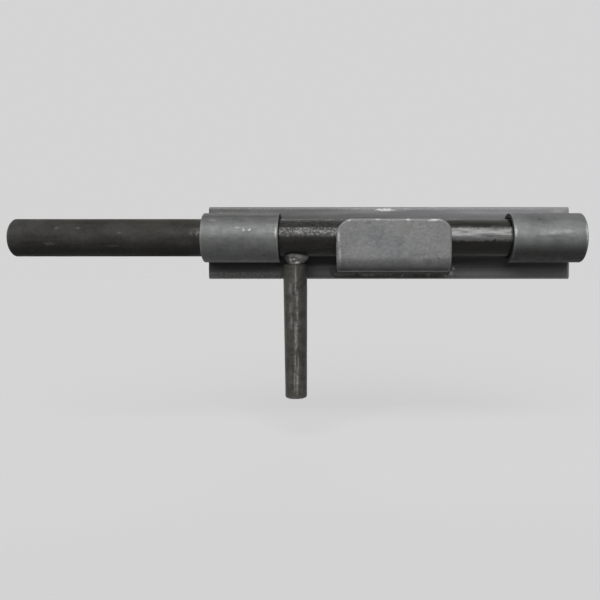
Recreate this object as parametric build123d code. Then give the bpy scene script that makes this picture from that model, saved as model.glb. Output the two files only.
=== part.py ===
from build123d import *
import math
import os

# Weld-on slide bolt gate latch of bare steel, in millimetres.
# The origin is the centre of the plate's back face, which is welded to the gate.
# X runs along the bolt with the nose at -X, Z is up, and the front faces -Y.

# Bolt, a length of round bar
bolt_diameter = 25.4
bolt_throw = 127.0  # nose past the plate's front end when the bolt is thrown
bolt_tail_inset = 0.8  # tail inside the rear tube's mouth
bolt_end_chamfer = 1.0

# Guide tubes, two saw-cut lengths of pipe
guide_clearance = 0.62  # all round the bolt
tube_wall = 3.38
tube_edge_break = 0.5
front_tube_length = 51.2
front_tube_inset = 1.0  # from the plate's front end
rear_tube_length = 48.6
rear_tube_overhang = 0.8  # past the plate's rear end

# Lock tab, a sheared blank bent to a flange under the bolt and a leg in front of it
tab_width = 75.2
tab_thickness = 4.76
tab_front_gap = 2.0  # between the bolt and the leg
tab_under_gap = 5.64  # between the bolt and the flange
tab_bend_radius = 4.76  # inside the bend
tab_rise = 11.7  # top of the leg above the bolt's axis
tab_front_corner = 11.0
tab_rear_corner = 9.0
tab_side_bow = 0.7  # bulge of the sheared sides
tab_edge_roll = 1.4  # rounding of the outer edges by the shear

# Bays beside the tab, where the handle hangs when the bolt is thrown or drawn
front_bay = 37.9
rear_bay = 40.9

# Base plate, a length of flat bar with rolled long edges
plate_width = 50.8
plate_thickness = 4.76
plate_edge_radius = 2.0
tab_ledge = 5.0  # plate left below the flange

# Handle, a length of round bar that tapers a little to its tip and is cut to a saddle at the top
handle_diameter = 16.6
handle_tip_diameter = 14.9
handle_reach = 108.0  # from the bolt's axis to the tip
handle_gap = 1.6  # from the front tube's inner end
handle_tip_chamfer = 0.9
saddle_clearance = 0.05  # between the bolt and what turns round it

# Weld collar round the top of the handle, fuller on the side away from the front tube.
# Its legs are measured level with the bolt's underside.
collar_front_leg = 0.3
collar_rear_leg = 3.0
collar_face_leg = 1.1
collar_drop = 4.9  # lower edge below the bolt's underside
collar_lip = 0.4  # thickness of the lower edge

# Fillet weld under the tab's flange
tab_weld_leg = 4.4  # along the flange
tab_weld_margin = 0.8  # bare plate below the bead
tab_weld_crown = 0.5

# Flare welds in the crevices between the tubes and the plate
tube_weld_root = 3.0  # offsets from the bolt's axis, along the plate's width
tube_weld_plate_toe = 12.6
tube_weld_tube_toe = 10.8
tube_weld_crown = 0.5
tube_weld_inset = 1.0  # short of the tube's outer end
tube_weld_past = 1.5  # past the tube's inner end

# Sizes and places that follow from the values above
bolt_radius = bolt_diameter / 2
handle_radius = handle_diameter / 2
tube_inner_radius = bolt_radius + guide_clearance
tube_outer_radius = tube_inner_radius + tube_wall
bay_and_tab_length = front_bay + tab_width + rear_bay
tubes_on_plate = front_tube_inset + front_tube_length + rear_tube_length - rear_tube_overhang
plate_length = tubes_on_plate + bay_and_tab_length

plate_front_end = -plate_length / 2
front_tube_start = plate_front_end + front_tube_inset
front_tube_end = front_tube_start + front_tube_length
tab_start = front_tube_end + front_bay
tab_end = tab_start + tab_width
rear_tube_start = tab_end + rear_bay
rear_tube_end = rear_tube_start + rear_tube_length
bolt_nose = plate_front_end - bolt_throw
bolt_tail = rear_tube_end - bolt_tail_inset
handle_x = front_tube_end + handle_gap + handle_radius

plate_face_y = -plate_thickness
axis_y = plate_face_y - tube_outer_radius
tab_inner_y = axis_y - bolt_radius - tab_front_gap
tab_outer_y = tab_inner_y - tab_thickness

flange_bottom_z = -plate_width / 2 + tab_ledge
flange_top_z = flange_bottom_z + tab_thickness
axis_z = flange_top_z + tab_under_gap + bolt_radius
tab_top_z = axis_z + tab_rise


def round_bar(radius, start, end):
    """A plain cylinder on the bolt's axis, from one X to another."""
    return Pos((start + end) / 2, axis_y, axis_z) * Rot(0, 90, 0) * Cylinder(radius, end - start)


def end_rims(shape):
    """The circular edges at the two ends of a round piece on the bolt's axis."""
    rims = shape.edges().filter_by(GeomType.CIRCLE).group_by(Axis.X)
    return rims[0] + rims[-1]


def crowned_side(start, end, crown):
    """An arc between two points that bulges to the left of the way from start to end."""
    chord = Vector(end) - Vector(start)
    outward = Vector(-chord.Y, chord.X).normalized() * crown
    middle = (Vector(start) + Vector(end)) / 2 + outward
    return ThreePointArc(start, middle, end)


def make_base_plate():
    """A length of flat bar with its long edges rolled."""
    bar = Pos(0, plate_face_y / 2, 0) * Box(plate_length, plate_thickness, plate_width)
    return fillet(bar.edges().filter_by(Axis.X), plate_edge_radius)


def make_guide_tube(start, end):
    """A length of pipe with the saw's burr broken off its outer edges."""
    blank = chamfer(end_rims(round_bar(tube_outer_radius, start, end)), tube_edge_break)
    return blank - round_bar(tube_inner_radius, start, end)


def tab_section():
    """The bent strip seen along the bolt, with Y across and Z up."""
    return make_face(
        FilletPolyline(
            (plate_face_y, flange_bottom_z),
            (tab_outer_y, flange_bottom_z),
            (tab_outer_y, tab_top_z),
            (tab_inner_y, tab_top_z),
            (tab_inner_y, flange_top_z),
            (plate_face_y, flange_top_z),
            radius=[0, tab_bend_radius + tab_thickness, 0, 0, tab_bend_radius, 0],
            close=True,
        )
    )


def tab_outline():
    """The sheared blank seen from the front: bowed sides and two uneven top corners."""
    bottom_front = (tab_start + tab_side_bow, flange_bottom_z)
    bottom_rear = (tab_end - tab_side_bow, flange_bottom_z)
    top_front = (tab_start + tab_side_bow, tab_top_z)
    top_rear = (tab_end - tab_side_bow, tab_top_z)
    outline = make_face(
        [
            Line(bottom_front, bottom_rear),
            crowned_side(top_rear, bottom_rear, tab_side_bow),
            Line(top_rear, top_front),
            crowned_side(bottom_front, top_front, tab_side_bow),
        ]
    )
    front_corner = outline.vertices().group_by(Axis.Y)[-1].sort_by(Axis.X)[0]
    outline = fillet(front_corner, tab_front_corner)
    rear_corner = outline.vertices().group_by(Axis.Y)[-1].sort_by(Axis.X)[-1]
    return fillet(rear_corner, tab_rear_corner)


def make_lock_tab():
    """The bent section trimmed to the blank's outline, with its outer edges rolled over."""
    strip = extrude(Plane.YZ.offset(tab_start) * tab_section(), tab_width)
    blank = extrude(Plane.XZ * tab_outline(), -tab_outer_y)
    tab = strip & blank
    leg_face = tab.faces().sort_by(Axis.Y)[0]
    outer_rim = leg_face.edges().sort_by(Axis.Z)[1:]
    return fillet(outer_rim, tab_edge_roll)


def make_bolt_rod():
    """Round bar with both ends chamfered."""
    bar = round_bar(bolt_radius, bolt_nose, bolt_tail)
    return chamfer(end_rims(bar), bolt_end_chamfer)


def bolt_seat():
    """The space round the bolt that the handle and its weld keep clear of."""
    return round_bar(bolt_radius + saddle_clearance, handle_x - handle_diameter, handle_x + handle_diameter)


def handle_bar():
    """The handle's full round, from its tip up to the bolt's axis."""
    middle = Pos(handle_x, axis_y, axis_z - handle_reach / 2)
    return middle * Cone(handle_tip_diameter / 2, handle_radius, handle_reach)


def make_handle():
    """Tapered round bar with a chamfered tip and a saddle that seats under the bolt."""
    bar = handle_bar()
    tip_rim = bar.edges().filter_by(GeomType.CIRCLE).sort_by(Axis.Z)[0]
    return chamfer(tip_rim, handle_tip_chamfer) - bolt_seat()


def collar_section(drop, front_leg, rear_leg, face_leg):
    """One oval of the weld collar, at a drop below the bolt's axis, from its legs off the handle."""
    shift = (rear_leg - front_leg) / 2
    width = handle_radius + (rear_leg + front_leg) / 2
    return Pos(handle_x + shift, axis_y, axis_z - drop) * Ellipse(width, handle_radius + face_leg)


def make_handle_weld():
    """A flared collar from the handle up to the bolt, cut to both of them."""
    lower_edge = bolt_radius + collar_drop
    above_seat = bolt_radius - collar_drop
    legs_above = [2 * leg - collar_lip for leg in (collar_front_leg, collar_rear_leg, collar_face_leg)]
    flare = loft(
        [
            collar_section(lower_edge, collar_lip, collar_lip, collar_lip),
            collar_section(above_seat, *legs_above),
        ],
        ruled=True,
    )
    return flare - handle_bar() - bolt_seat()


def make_tab_weld():
    """A fillet bead under the flange, with rounded ends that run on past the tab's sides."""
    corner = (plate_face_y, flange_bottom_z)
    flange_toe = (plate_face_y - tab_weld_leg, flange_bottom_z)
    plate_toe = (plate_face_y, -plate_width / 2 + tab_weld_margin)
    section = make_face(
        [
            Line(corner, flange_toe),
            crowned_side(plate_toe, flange_toe, tab_weld_crown),
            Line(plate_toe, corner),
        ]
    )
    bead = extrude(Plane.YZ.offset(tab_start) * section, tab_width)
    for end_x, turn in ((tab_start, -90), (tab_end, 90)):
        pivot = Axis((end_x, plate_face_y, 0), (0, 0, 1))
        bead += revolve(Plane.YZ.offset(end_x) * section, pivot, turn)
    return bead


def make_tube_weld(start, end, side):
    """A flare bead that fills one crevice between a tube and the plate, above (1) or below (-1)."""
    tube_depth = math.sqrt(tube_outer_radius**2 - tube_weld_tube_toe**2)
    root = (plate_face_y, axis_z + side * tube_weld_root)
    plate_toe = (plate_face_y, axis_z + side * tube_weld_plate_toe)
    tube_toe = (axis_y + tube_depth, axis_z + side * tube_weld_tube_toe)
    section = make_face(
        [
            Line(root, plate_toe),
            crowned_side(plate_toe, tube_toe, -side * tube_weld_crown),
            Line(tube_toe, root),
        ]
    )
    bead = extrude(Plane.YZ.offset(start) * section, end - start)
    return bead - round_bar(tube_outer_radius, start, end)


front_weld_span = (front_tube_start + tube_weld_inset, front_tube_end + tube_weld_past)
rear_weld_span = (rear_tube_start - tube_weld_past, rear_tube_end - tube_weld_inset)

pieces = {
    "base_plate": make_base_plate(),
    "front_guide_tube": make_guide_tube(front_tube_start, front_tube_end),
    "rear_guide_tube": make_guide_tube(rear_tube_start, rear_tube_end),
    "lock_tab": make_lock_tab(),
    "tab_weld": make_tab_weld(),
    "front_tube_upper_weld": make_tube_weld(*front_weld_span, 1),
    "front_tube_lower_weld": make_tube_weld(*front_weld_span, -1),
    "rear_tube_upper_weld": make_tube_weld(*rear_weld_span, 1),
    "rear_tube_lower_weld": make_tube_weld(*rear_weld_span, -1),
    "bolt_rod": make_bolt_rod(),
    "handle": make_handle(),
    "handle_weld": make_handle_weld(),
}

os.makedirs("parts", exist_ok=True)
for name, shape in pieces.items():
    export_step(shape, f"parts/{name}.step")
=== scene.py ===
import functools
import itertools
import logging
import math
from dataclasses import dataclass, field, replace
from enum import Enum
from typing import Callable, Sequence

import bmesh
import bpy
import numpy as np
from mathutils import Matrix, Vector


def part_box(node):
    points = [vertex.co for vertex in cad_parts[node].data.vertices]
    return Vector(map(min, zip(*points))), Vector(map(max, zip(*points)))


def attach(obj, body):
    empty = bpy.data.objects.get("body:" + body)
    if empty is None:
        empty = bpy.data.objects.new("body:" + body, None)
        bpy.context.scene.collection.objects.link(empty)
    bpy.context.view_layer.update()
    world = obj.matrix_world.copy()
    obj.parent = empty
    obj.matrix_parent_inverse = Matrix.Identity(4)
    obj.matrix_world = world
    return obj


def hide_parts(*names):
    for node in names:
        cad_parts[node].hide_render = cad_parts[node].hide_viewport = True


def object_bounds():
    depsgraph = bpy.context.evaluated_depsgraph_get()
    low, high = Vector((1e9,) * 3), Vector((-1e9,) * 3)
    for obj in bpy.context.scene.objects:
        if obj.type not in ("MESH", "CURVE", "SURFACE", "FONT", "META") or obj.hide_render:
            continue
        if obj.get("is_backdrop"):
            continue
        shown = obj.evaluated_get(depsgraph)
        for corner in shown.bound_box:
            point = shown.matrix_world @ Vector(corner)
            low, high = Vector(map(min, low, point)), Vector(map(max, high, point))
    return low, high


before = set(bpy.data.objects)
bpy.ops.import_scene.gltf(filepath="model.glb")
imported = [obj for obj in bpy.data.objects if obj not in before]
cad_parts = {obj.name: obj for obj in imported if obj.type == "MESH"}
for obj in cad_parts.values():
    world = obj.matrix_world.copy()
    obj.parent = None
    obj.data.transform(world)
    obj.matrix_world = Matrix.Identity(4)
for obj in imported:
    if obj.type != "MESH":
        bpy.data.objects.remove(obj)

LOG = logging.getLogger("gate_latch")
MM = 0.001
HASH_MASK = 0xFFFFFFFF
HASH_STEPS = (73856093, 19349663, 83492791)
HASH_SEED = 2654435761
HASH_MIX = 1274126177
HASH_SHIFTS = (13, 16)
LAYERS_HEIGHT = 1.5
MARK_DEPTH = 3 * MM

Array = np.ndarray
Faces = list[tuple[int, ...]]
Pair = tuple[float, float]
Triple = tuple[float, float, float]
Row = tuple[float, float, float, float, float]
Socket = bpy.types.NodeSocket
Sockets = bpy.types.bpy_prop_collection


class Body(Enum):
    """The moving bodies of the latch."""

    BASE = "base"
    BOLT = "bolt"
    HANDLE = "handle"


class Grain(Enum):
    """Which way a surface was rolled, drawn or rubbed: how much each axis is stretched."""

    ALONG_X = (0.06, 1.0, 1.0)
    ALONG_Z = (1.0, 1.0, 0.06)
    CROSSED = (0.35, 1.0, 0.5)


class Mask(Enum):
    """Per-point masks that the finishes read."""

    EDGE = "edge"
    # Real soot and heat tint, and painted shade in crevices, on end faces and under parts.
    SOOT = "soot"


# Shapes


@dataclass(frozen=True)
class Lumps:
    """Repeatable lumpy noise for shaping surfaces: finer lumps over coarse ones, in layers."""

    depth: float
    size: float
    layers: int
    seed: int
    level: float = 0.0

    @staticmethod
    def lattice(cells: Array, seed: int) -> Array:
        """Give each whole-number cell one fixed random value.

        Args:
            cells: whole-number cell coordinates, three to a cell.
            seed: picks one pattern out of many.

        Returns:
            Values from -1 to 1.
        """
        mask, (first, second) = np.uint64(HASH_MASK), map(np.uint64, HASH_SHIFTS)
        mixed = np.full(cells.shape[:-1], seed * HASH_SEED & HASH_MASK, np.uint64)
        for axis, step in enumerate(HASH_STEPS):
            mixed ^= cells[..., axis].astype(np.uint64) * np.uint64(step)
        mixed &= mask
        mixed = (mixed ^ mixed >> first) * np.uint64(HASH_MIX) & mask
        mixed ^= mixed >> second
        return mixed.astype(float) / HASH_MASK * 2 - 1

    def layer(self, points: Array, number: int) -> Array:
        """One layer, with lumps half as wide as in the layer before.

        Args:
            points: places in metres.
            number: which layer, 0 for the coarsest.

        Returns:
            One value from -1 to 1 for each point.
        """
        scaled = points / (self.size / 2**number)
        base = np.floor(scaled)
        share = scaled - base
        share = share * share * (3 - 2 * share)
        total = np.zeros(points.shape[:-1])
        for corner in itertools.product((0, 1), repeat=3):
            weight = np.prod(np.where(corner, share, 1 - share), axis=-1)
            total += weight * self.lattice((base + np.array(corner)).astype(np.int64), self.seed + number)
        return total

    def at(self, points: Array) -> Array:
        """Heights at a set of places: the depth times the noise, about -1 to 1, raised by the level."""
        layers = [self.layer(points, number) / 2**number for number in range(self.layers)]
        return self.depth * (sum(layers, np.zeros(points.shape[:-1])) / LAYERS_HEIGHT + self.level)


@dataclass(frozen=True)
class Uneven:
    """Gentle waves and scattered shallow knocks in a surface, with sizes in metres."""

    wave_depth: float
    wave_size: float
    knocks: int
    knock_width: float
    knock_depth: float
    seeds: tuple[int, int]
    least_width: float = 0.25
    least_depth: float = 0.2

    def sunk(self, points: Array) -> Array:
        """How far a surface is sunk in.

        Args:
            points: places on the surface.

        Returns:
            A depth for each point, in metres.
        """
        flat = points.reshape(-1, 3)
        draw = np.random.default_rng(self.seeds[1])
        knocked = np.zeros(len(flat))
        for centre in flat[draw.integers(0, len(flat), self.knocks)]:
            radius = self.knock_width * draw.uniform(self.least_width, 1.0)
            far = np.sum((flat - centre) ** 2, axis=1) / radius**2
            depth = self.knock_depth * draw.uniform(self.least_depth, 1.0)
            knocked = np.maximum(knocked, depth * np.exp(-far))
        waves = Lumps(self.wave_depth, self.wave_size, 3, self.seeds[0], level=1)
        return waves.at(points) + knocked.reshape(points.shape[:-1])


def smooth_step(values: Array, low: float, high: float) -> Array:
    """Rise smoothly from 0 at low to 1 at high."""
    share = np.clip((values - low) / (high - low), 0, 1)
    return share * share * (3 - 2 * share)


def near(gaps: Array, reach: float) -> Array:
    """Fall smoothly from 1 where there is no gap to almost 0 at twice the reach."""
    return np.exp(-((gaps / reach) ** 2))


def sheet_faces(rows: int, columns: int, wrap_rows: bool, wrap_columns: bool) -> Faces:
    """Quads over a sheet of points.

    Args:
        rows: points one way.
        columns: points the other way.
        wrap_rows: whether the last row joins the first.
        wrap_columns: whether the last column joins the first.

    Returns:
        Four point numbers to a quad, with points numbered row by row.
    """
    low, left = np.meshgrid(
        np.arange(rows - (not wrap_rows)), np.arange(columns - (not wrap_columns)), indexing="ij"
    )
    high, right = (low + 1) % rows, (left + 1) % columns
    corners = ((low, left), (low, right), (high, right), (high, left))
    quads = np.stack([(row * columns + column).ravel() for row, column in corners], axis=1)
    return [tuple(quad) for quad in quads.tolist()]


@dataclass(frozen=True)
class Corner:
    """One corner of an outline that is turned."""

    along: float
    out: float
    round: float = 0.0


def rounded_path(corners: Sequence[Corner], closed: bool, step: float) -> tuple[Array, Array]:
    """An outline with rounded corners, cut into short runs.

    Args:
        corners: the corners in order.
        closed: whether the last joins the first.
        step: longest run between points, in metres.

    Returns:
        The points, and for each how near it is to a rounded corner, 1 on it and 0 far off.
    """
    arc_points, reach = 5, 1.6 * MM
    spots = [np.array((c.along, c.out)) for c in corners]
    path: list[Array] = []
    rims: list[Array] = []
    for index, corner in enumerate(corners):
        spot = spots[index]
        if corner.round == 0:
            path.append(spot)
            continue
        back, ahead = spots[index - 1] - spot, spots[(index + 1) % len(spots)] - spot
        back, ahead = back / np.linalg.norm(back), ahead / np.linalg.norm(ahead)
        half = math.acos(float(np.clip(back @ ahead, -1, 1))) / 2
        run = corner.round / math.tan(half)
        middle = (back + ahead) / np.linalg.norm(back + ahead)
        centre = spot + middle * corner.round / math.sin(half)
        first, last = spot + back * run - centre, spot + ahead * run - centre
        for share in np.linspace(0, 1, arc_points):
            blend = first * (1 - share) + last * share
            path.append(centre + blend / np.linalg.norm(blend) * corner.round)
        rims.append(centre - middle * corner.round)
    if closed:
        path.append(path[0])
    points = [path[0]]
    for start, end in zip(path, path[1:]):
        parts = max(1, math.ceil(np.linalg.norm(end - start) / step))
        points += [start + (end - start) * part / parts for part in range(1, parts + 1)]
    outline = np.array(points[:-1] if closed else points)
    gaps = np.min([np.linalg.norm(outline - rim, axis=1) for rim in rims], axis=0)
    return outline, near(gaps, reach)


def turned(path: Array, count: int) -> Array:
    """Turn an outline about its own axis.

    Args:
        path: places along the axis and out from it.
        count: points to a turn.

    Returns:
        Rows of points: along, forward and up, with the first point of each row at the front.
    """
    angle = np.linspace(0, math.tau, count, endpoint=False)
    along = np.repeat(path[:, :1], count, axis=1)
    return np.stack([along, path[:, 1:] * np.cos(angle), path[:, 1:] * np.sin(angle)], axis=2)


def draw_in(rows: Array, path: Array, depth: Array) -> None:
    """Draw turned rows in towards their axis by a depth for each point."""
    rows[..., 1:] *= ((path[:, 1:] - depth) / path[:, 1:])[..., None]


def closed_ends(rows: int, columns: int) -> Faces:
    """Faces of a turned bar, with a fan at each end to a point numbered after the rows.

    Args:
        rows: rows of points along the bar.
        columns: points to a row.

    Returns:
        The bar's faces.
    """
    faces = sheet_faces(rows, columns, False, True)
    first, last = rows * columns, rows * columns + 1
    top = (rows - 1) * columns
    for column in range(columns):
        after = (column + 1) % columns
        faces += [(first, after, column), (last, top + column, top + after)]
    return faces


@dataclass
class Skin:
    """Points, faces and masks of one piece, before it becomes a mesh."""

    points: Array
    faces: Faces
    masks: dict[Mask, Array]


@dataclass(frozen=True)
class Layout:
    """Places that the sub-assemblies share, in metres, read from the frame."""

    axis_y: float
    axis_z: float
    bolt_radius: float
    tube_radius: float
    plate_face: float
    handle_x: float
    handle_radius: float

    @classmethod
    def from_frame(cls) -> "Layout":
        """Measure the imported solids.

        Returns:
            The shared places.
        """
        bolt_low, bolt_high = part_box("bolt_rod")
        tube_low, tube_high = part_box("front_guide_tube")
        grip_low, grip_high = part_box("handle")
        return cls(
            axis_y=(tube_low.y + tube_high.y) / 2,
            axis_z=(tube_low.z + tube_high.z) / 2,
            bolt_radius=(bolt_high.z - bolt_low.z) / 2,
            tube_radius=(tube_high.z - tube_low.z) / 2,
            plate_face=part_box("base_plate")[0].y,
            handle_x=(grip_low.x + grip_high.x) / 2,
            handle_radius=(grip_high.x - grip_low.x) / 2,
        )

    def on_bolt_axis(self, rows: Array) -> Array:
        """Place turned rows on the bolt's axis, with their front facing -Y."""
        return np.stack([rows[..., 0], self.axis_y - rows[..., 1], self.axis_z + rows[..., 2]], axis=-1)

    def saddle_height(self, y: Array, clearance: float) -> Array:
        """Height of the bolt's underside over a place across it."""
        reach = (self.bolt_radius + clearance) ** 2 - (y - self.axis_y) ** 2
        return self.axis_z - np.sqrt(np.maximum(reach, 0))


# Finishes


class Wiring:
    """Makes and joins the nodes of one tree."""

    def __init__(self, tree: bpy.types.NodeTree) -> None:
        """Take up a material's node tree, a world's or a node group."""
        self.tree = tree

    def feed(self, value: object, socket: Socket) -> None:
        """Link a socket, or set a plain value, into an input.

        Args:
            value: a socket, a number, a vector or a colour.
            socket: the input.
        """
        if isinstance(value, Socket):
            self.tree.links.new(value, socket)
        else:
            socket.default_value = (*value, 1.0) if socket.type == "RGBA" else value

    def node(self, kind: str, inputs: dict | None = None, **settings: object) -> bpy.types.Node:
        """Add a node.

        Args:
            kind: the node's type.
            inputs: what goes into it, by the input's number or name.
            settings: properties to set on it.

        Returns:
            The node.
        """
        made = self.tree.nodes.new(kind)
        for name, value in settings.items():
            setattr(made, name, value)
        for label, value in (inputs or {}).items():
            self.feed(value, made.inputs[label])
        return made

    def effect(self, effect: "Effect", **inputs: object) -> Sockets:
        """Place a shared effect and give its outputs by name."""
        return self.node("ShaderNodeGroup", inputs, node_tree=effect.tree()).outputs

    def math(self, operation: str, *values: object, clamp: bool = False) -> Socket:
        """Work out a number from others."""
        inputs = dict(enumerate(values))
        return self.node("ShaderNodeMath", inputs, operation=operation, use_clamp=clamp).outputs[0]

    def times(self, *values: object) -> Socket:
        """Multiply numbers."""
        return functools.reduce(functools.partial(self.math, "MULTIPLY"), values)

    def scaled(self, value: object, by: object, plus: object, clamp: bool = False) -> Socket:
        """Multiply two numbers and add a third."""
        return self.math("MULTIPLY_ADD", value, by, plus, clamp=clamp)

    def vector(self, operation: str, *values: object, output: int = 0) -> Socket:
        """Work out a vector, or the number at output 1, from vectors."""
        inputs = dict(enumerate(values))
        return self.node("ShaderNodeVectorMath", inputs, operation=operation).outputs[output]

    def step(self, value: object, low: object, high: object, to: Pair = (0.0, 1.0)) -> Socket:
        """Map a number smoothly from one range to another."""
        inputs = dict(enumerate((value, low, high, *to)))
        return self.node("ShaderNodeMapRange", inputs, interpolation_type="SMOOTHSTEP").outputs[0]

    def mix(self, share: object, start: object, end: object) -> Socket:
        """Mix two colours."""
        return self.node("ShaderNodeMix", {0: share, 6: start, 7: end}, data_type="RGBA").outputs[2]

    def blend(self, share: object, start: object, end: object) -> Socket:
        """Mix two numbers."""
        return self.node("ShaderNodeMix", {0: share, 2: start, 3: end}, data_type="FLOAT").outputs[0]

    def noise(self, place: object, scale: object, detail: float, roughness: float = 0.6) -> Socket:
        """Cloudy noise, from 0 to 1."""
        inputs = {"Vector": place, "Scale": scale, "Detail": detail, "Roughness": roughness}
        return self.node("ShaderNodeTexNoise", inputs).outputs["Fac"]

    def off_middle(self, cloud: Socket) -> Socket:
        """How far cloudy noise is above its middle value."""
        return self.math("SUBTRACT", cloud, 0.5)


@dataclass(frozen=True)
class Effect:
    """A surface effect that finishes share: a node group that is filled once and puts out numbers."""

    name: str
    inputs: tuple[str, ...]
    outputs: tuple[str, ...]
    fill: Callable[[Wiring, Sockets], Sequence[Socket]]
    vectors: tuple[str, ...] = ("Place", "Drawn", "Spot", "Size")

    def tree(self) -> bpy.types.NodeTree:
        """Give the node group, made the first time it is asked for.

        Returns:
            The group.
        """
        group = bpy.data.node_groups.get(self.name)
        if group is None:
            group = bpy.data.node_groups.new(self.name, "ShaderNodeTree")
            for label in self.inputs:
                kind = "NodeSocketVector" if label in self.vectors else "NodeSocketFloat"
                group.interface.new_socket(name=label, in_out="INPUT", socket_type=kind)
            for label in self.outputs:
                group.interface.new_socket(name=label, in_out="OUTPUT", socket_type="NodeSocketFloat")
            wire = Wiring(group)
            made = self.fill(wire, wire.node("NodeGroupInput").outputs)
            wire.node("NodeGroupOutput", dict(zip(self.outputs, made)))
        return group


def fill_mottle(wire: Wiring, given: Sockets) -> Sequence[Socket]:
    """Cloudy patches of scale over bare steel: broad, fine, drawn along the grain, and stains.

    Args:
        wire: the group's wiring.
        given: its inputs by name.

    Returns:
        Its outputs in order.
    """
    made = []
    for place, scale in (("Place", 1.0), ("Place", 7.0), ("Drawn", 5.0), ("Place", 0.55)):
        cloud = wire.noise(given[place], wire.times(given["Scale"], scale), 4.0)
        made.append(wire.scaled(wire.off_middle(cloud), given["Contrast"], 0.5, clamp=True))
    return made


def fill_pits(wire: Wiring, given: Sockets) -> Sequence[Socket]:
    """Small scattered pits and specks.

    Args:
        wire: the group's wiring.
        given: its inputs by name.

    Returns:
        Its outputs in order.
    """
    ragged = wire.noise(given["Place"], wire.times(given["Scale"], 2.5), 2.0)
    inputs = {"Vector": given["Place"], "Scale": given["Scale"]}
    cells = wire.node("ShaderNodeTexVoronoi", inputs).outputs
    chosen = wire.node("ShaderNodeSeparateColor", {0: cells["Color"]}).outputs
    size = wire.scaled(chosen[1], 0.25, 0.05)
    far = wire.scaled(ragged, 0.25, wire.math("SUBTRACT", cells["Distance"], 0.12))
    picked = wire.math("LESS_THAN", chosen[0], given["Share"])
    return [wire.times(wire.step(far, size, 0.0), picked)]


def fill_scratches(wire: Wiring, given: Sockets) -> Sequence[Socket]:
    """Fine broken scratches along the grain.

    Args:
        wire: the group's wiring.
        given: its inputs by name.

    Returns:
        Its outputs in order.
    """
    lines = wire.noise(given["Place"], given["Scale"], 3.0, 0.7)
    painted_light = wire.step(wire.math("ABSOLUTE", wire.off_middle(lines)), 0.012, 0.0)
    patches = wire.noise(given["Place"], wire.times(given["Scale"], 0.21), 2.0)
    here = wire.step(wire.math("ADD", patches, given["Share"]), 0.6, 0.75)
    return [wire.times(painted_light, here)]


def fill_wear(wire: Wiring, given: Sockets) -> Sequence[Socket]:
    """Bright broken wear along exposed edges.

    Args:
        wire: the group's wiring.
        given: its inputs by name.

    Returns:
        Its outputs in order.
    """
    broken = wire.noise(given["Place"], given["Scale"], 4.0, 0.65)
    pushed = wire.scaled(wire.off_middle(broken), 0.9, given["Edge"])
    return [wire.times(wire.step(pushed, 0.35, 0.95), given["Amount"])]


def fill_mark(wire: Wiring, given: Sockets) -> Sequence[Socket]:
    """One ragged scuff, speck or painted glint at a given spot.

    Args:
        wire: the group's wiring.
        given: its inputs by name.

    Returns:
        Its outputs in order.
    """
    offset = wire.vector("DIVIDE", wire.vector("SUBTRACT", given["Place"], given["Spot"]), given["Size"])
    length = wire.vector("LENGTH", offset, output=1)
    ragged = wire.noise(given["Drawn"], 800.0, 3.0)
    far = wire.scaled(ragged, 1.8, wire.math("SUBTRACT", length, 0.9))
    broken = wire.step(wire.noise(given["Drawn"], 1500.0, 2.0), 0.25, 0.55)
    return [wire.times(wire.step(far, 1.15, 0.1), broken)]


def fill_under_shade_and_dust(wire: Wiring, given: Sockets) -> Sequence[Socket]:
    """Painted shade on what faces down, and dust on what faces up.

    Args:
        wire: the group's wiring.
        given: its inputs by name.

    Returns:
        Its outputs in order.
    """
    normal = wire.node("ShaderNodeTexCoord").outputs["Normal"]
    facing = wire.node("ShaderNodeSeparateXYZ", {0: normal}).outputs[2]
    below, above = wire.step(facing, 0.05, -0.7), wire.step(facing, 0.86, 1.0)
    return [wire.times(below, given["Grime"]), wire.times(above, given["Dust"])]


MOTTLE = Effect(
    "steel_mottle", ("Place", "Drawn", "Scale", "Contrast"), ("Broad", "Fine", "Streak", "Stain"),
    fill_mottle,
)
PITS = Effect("steel_pits", ("Place", "Scale", "Share"), ("Mask",), fill_pits)
SCRATCHES = Effect("steel_scratches", ("Place", "Scale", "Share"), ("Mask",), fill_scratches)
WEAR = Effect("steel_edge_wear", ("Place", "Edge", "Scale", "Amount"), ("Mask",), fill_wear)
MARK = Effect("steel_mark", ("Place", "Drawn", "Spot", "Size"), ("Mask",), fill_mark)
UNDER_SHADE_AND_DUST = Effect("steel_under_shade_and_dust", ("Grime", "Dust"), ("Below", "Above"), fill_under_shade_and_dust)


@dataclass(frozen=True)
class Mark:
    """One scuff, speck or painted glint that stands out: its place and half sizes, in metres, and how
    strong it is.
    """

    place: Triple
    size: Triple
    strength: float


def flat_marks(y: float, *rows: Row, x: float = 0.0) -> tuple[Mark, ...]:
    """Marks on a face that looks to the front.

    Args:
        y: the face's place, in metres.
        rows: each mark's X, Z, half sizes along X and Z in millimetres, and strength, 1 to cover all.
        x: what the marks' X is counted from, in millimetres.

    Returns:
        The marks.
    """
    return tuple(
        Mark(((x + side) * MM, y, height * MM), (wide * MM, MARK_DEPTH, tall * MM), strength)
        for side, height, wide, tall, strength in rows
    )


def bar_marks(layout: Layout, radius: float, *rows: Row) -> tuple[Mark, ...]:
    """Marks on the front of something round that lies on the bolt's axis.

    Args:
        layout: the shared places.
        radius: of the round piece, in metres.
        rows: as for flat_marks, but with heights counted from the bolt's axis.

    Returns:
        The marks.
    """
    made = []
    for x, rise, wide, tall, strength in rows:
        front = layout.axis_y - math.sqrt(radius**2 - (rise * MM) ** 2)
        spot = (x * MM, front, layout.axis_z + rise * MM)
        made.append(Mark(spot, (wide * MM, MARK_DEPTH, tall * MM), strength))
    return tuple(made)


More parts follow.
